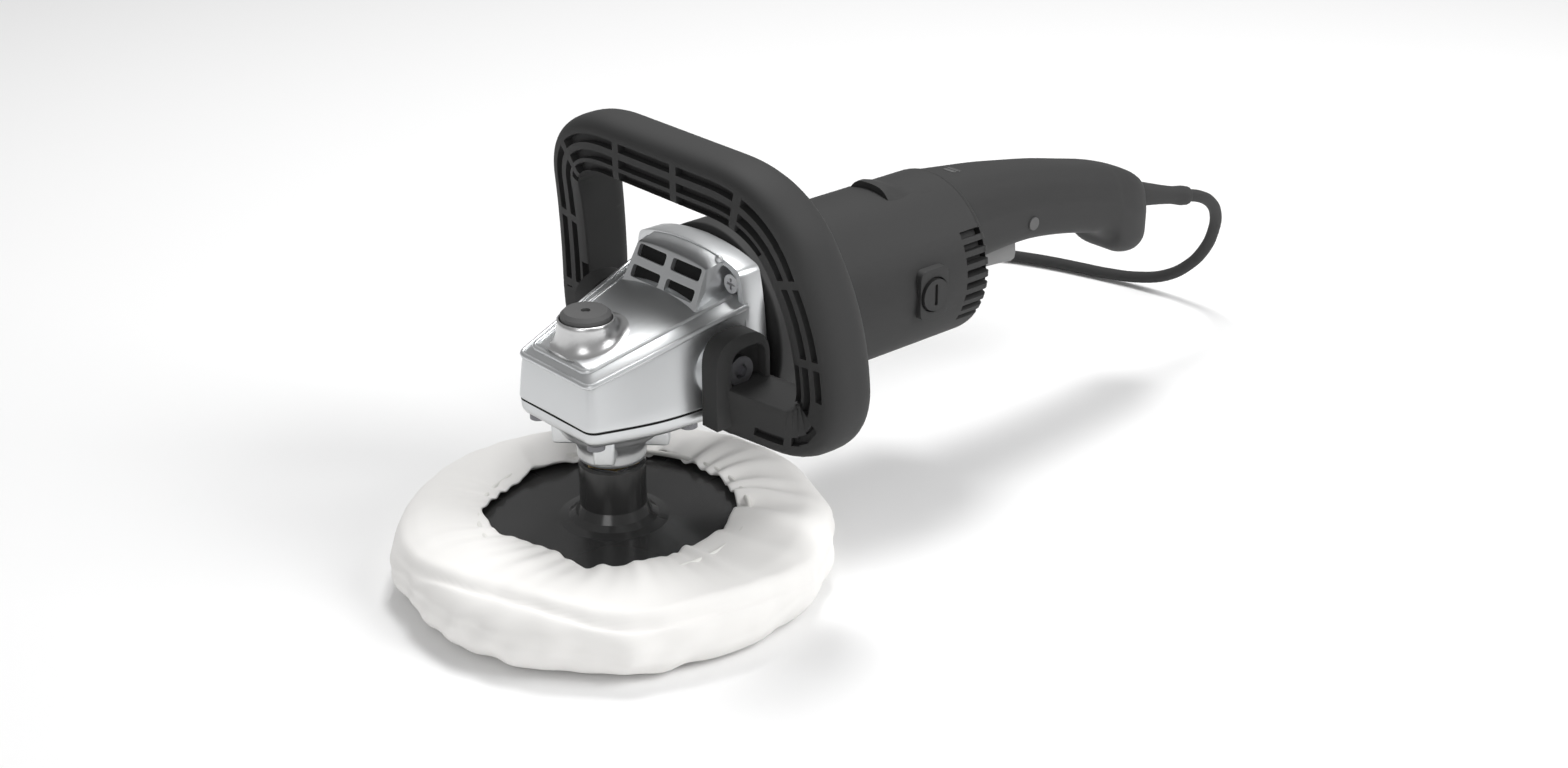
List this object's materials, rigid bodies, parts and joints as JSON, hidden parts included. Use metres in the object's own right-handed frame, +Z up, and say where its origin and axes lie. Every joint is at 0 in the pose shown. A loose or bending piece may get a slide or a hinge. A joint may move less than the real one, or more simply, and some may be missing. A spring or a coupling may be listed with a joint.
{
  "type": "rotary polisher",
  "caption": "Corded rotary polisher with a cast angle gear head, loop front handle, trigger rear handle and a soft bonnet over a backing pad, its cord coiled beside it.",
  "frame": {"origin": "on the spindle axis at the bonnet's working face, where the tool stands on the floor", "axes": "+X forward towards the nose, +Y to the tool's left, +Z up along the spindle"},
  "size_m": [0.5267, 0.347, 0.1907],
  "materials": {
    "fleece": "soft white pile",
    "cord_tape": "woven tape",
    "foam": "matt foam",
    "pad_plastic": "gloss",
    "brass": "turned",
    "machined_steel": "machined",
    "gear_steel": "oiled",
    "spring_steel": "drawn wire",
    "bronze": "sintered",
    "seal_rubber": "matt",
    "cast_aluminium": "satin cast",
    "gasket": "matt",
    "dark_steel": "blackened",
    "charcoal_plastic": "fine texture",
    "black_plastic": "satin moulded",
    "laminated_steel": "lacquered laminations",
    "copper_wire": "enamelled",
    "carbon": "pressed carbon",
    "grey_plastic": "fine texture",
    "board": "circuit board",
    "cord_rubber": "smooth sheath"
  },
  "bodies": {
    "machine": {"lower_bearing": "machined_steel", "upper_bush": "bronze", "dust_seal": "seal_rubber", "bearing_cover": "cast_aluminium", "cover_gasket": "gasket", "cover_screws": "dark_steel", "gear_housing": "cast_aluminium", "flange_screws": "machined_steel", "lock_spring": "spring_steel", "front_bearing": "machined_steel", "bearing_retainer": "dark_steel", "air_baffle": "black_plastic", "rear_bearing": "machined_steel", "stator_core": "laminated_steel", "field_coils": "copper_wire", "motor_housing": "black_plastic", "brush_holders": "brass", "carbon_brushes": "carbon", "brush_caps": "black_plastic", "handle_shell_left": "black_plastic", "handle_shell_right": "black_plastic", "handle_screws": "dark_steel", "switch_body": "charcoal_plastic", "trigger_pin": "machined_steel", "trigger_spring": "spring_steel", "speed_control": "board", "cord_clamp": "charcoal_plastic", "strain_relief": "cord_rubber", "loop_handle": "black_plastic", "handle_bolts": "dark_steel", "cord_run": "cord_rubber", "cord_coil": "cord_rubber", "coil_tie": "charcoal_plastic", "plug_body": "cord_rubber", "plug_pins": "brass"},
    "spindle": {"bonnet": "fleece", "bonnet_drawstring": "cord_tape", "foam_layer": "foam", "backing_pad": "pad_plastic", "hub_insert": "brass", "spindle": "machined_steel", "ring_gear": "gear_steel", "spindle_circlip": "spring_steel"},
    "armature": {"pinion_gear": "gear_steel", "armature_shaft": "machined_steel", "cooling_fan": "charcoal_plastic", "armature_core": "laminated_steel", "armature_windings": "copper_wire", "commutator": "copper_wire"},
    "trigger": {"trigger": "grey_plastic"},
    "lock_on_button": {"lock_on_button": "charcoal_plastic"},
    "lock_button": {"lock_button": "charcoal_plastic"},
    "speed_dial": {"speed_dial": "charcoal_plastic"}
  },
  "joints": [
    {"name": "spindle_spin", "type": "hinge", "parent": "machine", "child": "spindle", "pos_m": [0, 0, 0], "axis": [0, 0, 1], "continuous": true},
    {"name": "armature_spin", "type": "hinge", "parent": "machine", "child": "armature", "pos_m": [0, 0, 0.101], "axis": [1, 0, 0], "continuous": true},
    {"name": "trigger_pull", "type": "hinge", "parent": "machine", "child": "trigger", "pos_m": [-0.209, 0, 0.099], "axis": [0, 1, 0], "range_deg": [0, 6], "stiffness_Nm_per_rad": 1.5, "springref_deg": -1.72, "deforming": ["trigger_spring"]},
    {"name": "lock_on_press", "type": "slide", "parent": "machine", "child": "lock_on_button", "axis": [0, -1, 0], "range_m": [0, 0.0025], "stiffness_N_per_m": 800, "springref_m": -0.0015},
    {"name": "spindle_lock_press", "type": "slide", "parent": "machine", "child": "lock_button", "axis": [0, 0, -1], "range_m": [0, 0.003], "stiffness_N_per_m": 1500, "springref_m": -0.002, "deforming": ["lock_spring"]},
    {"name": "speed_dial_turn", "type": "hinge", "parent": "machine", "child": "speed_dial", "pos_m": [-0.2025, 0, 0.1274], "axis": [0, 1, 0], "range_deg": [-135, 135]}
  ],
  "couplings": [
    {"joint": "armature_spin", "follows": "spindle_spin", "ratio": -3.7}
  ]
}
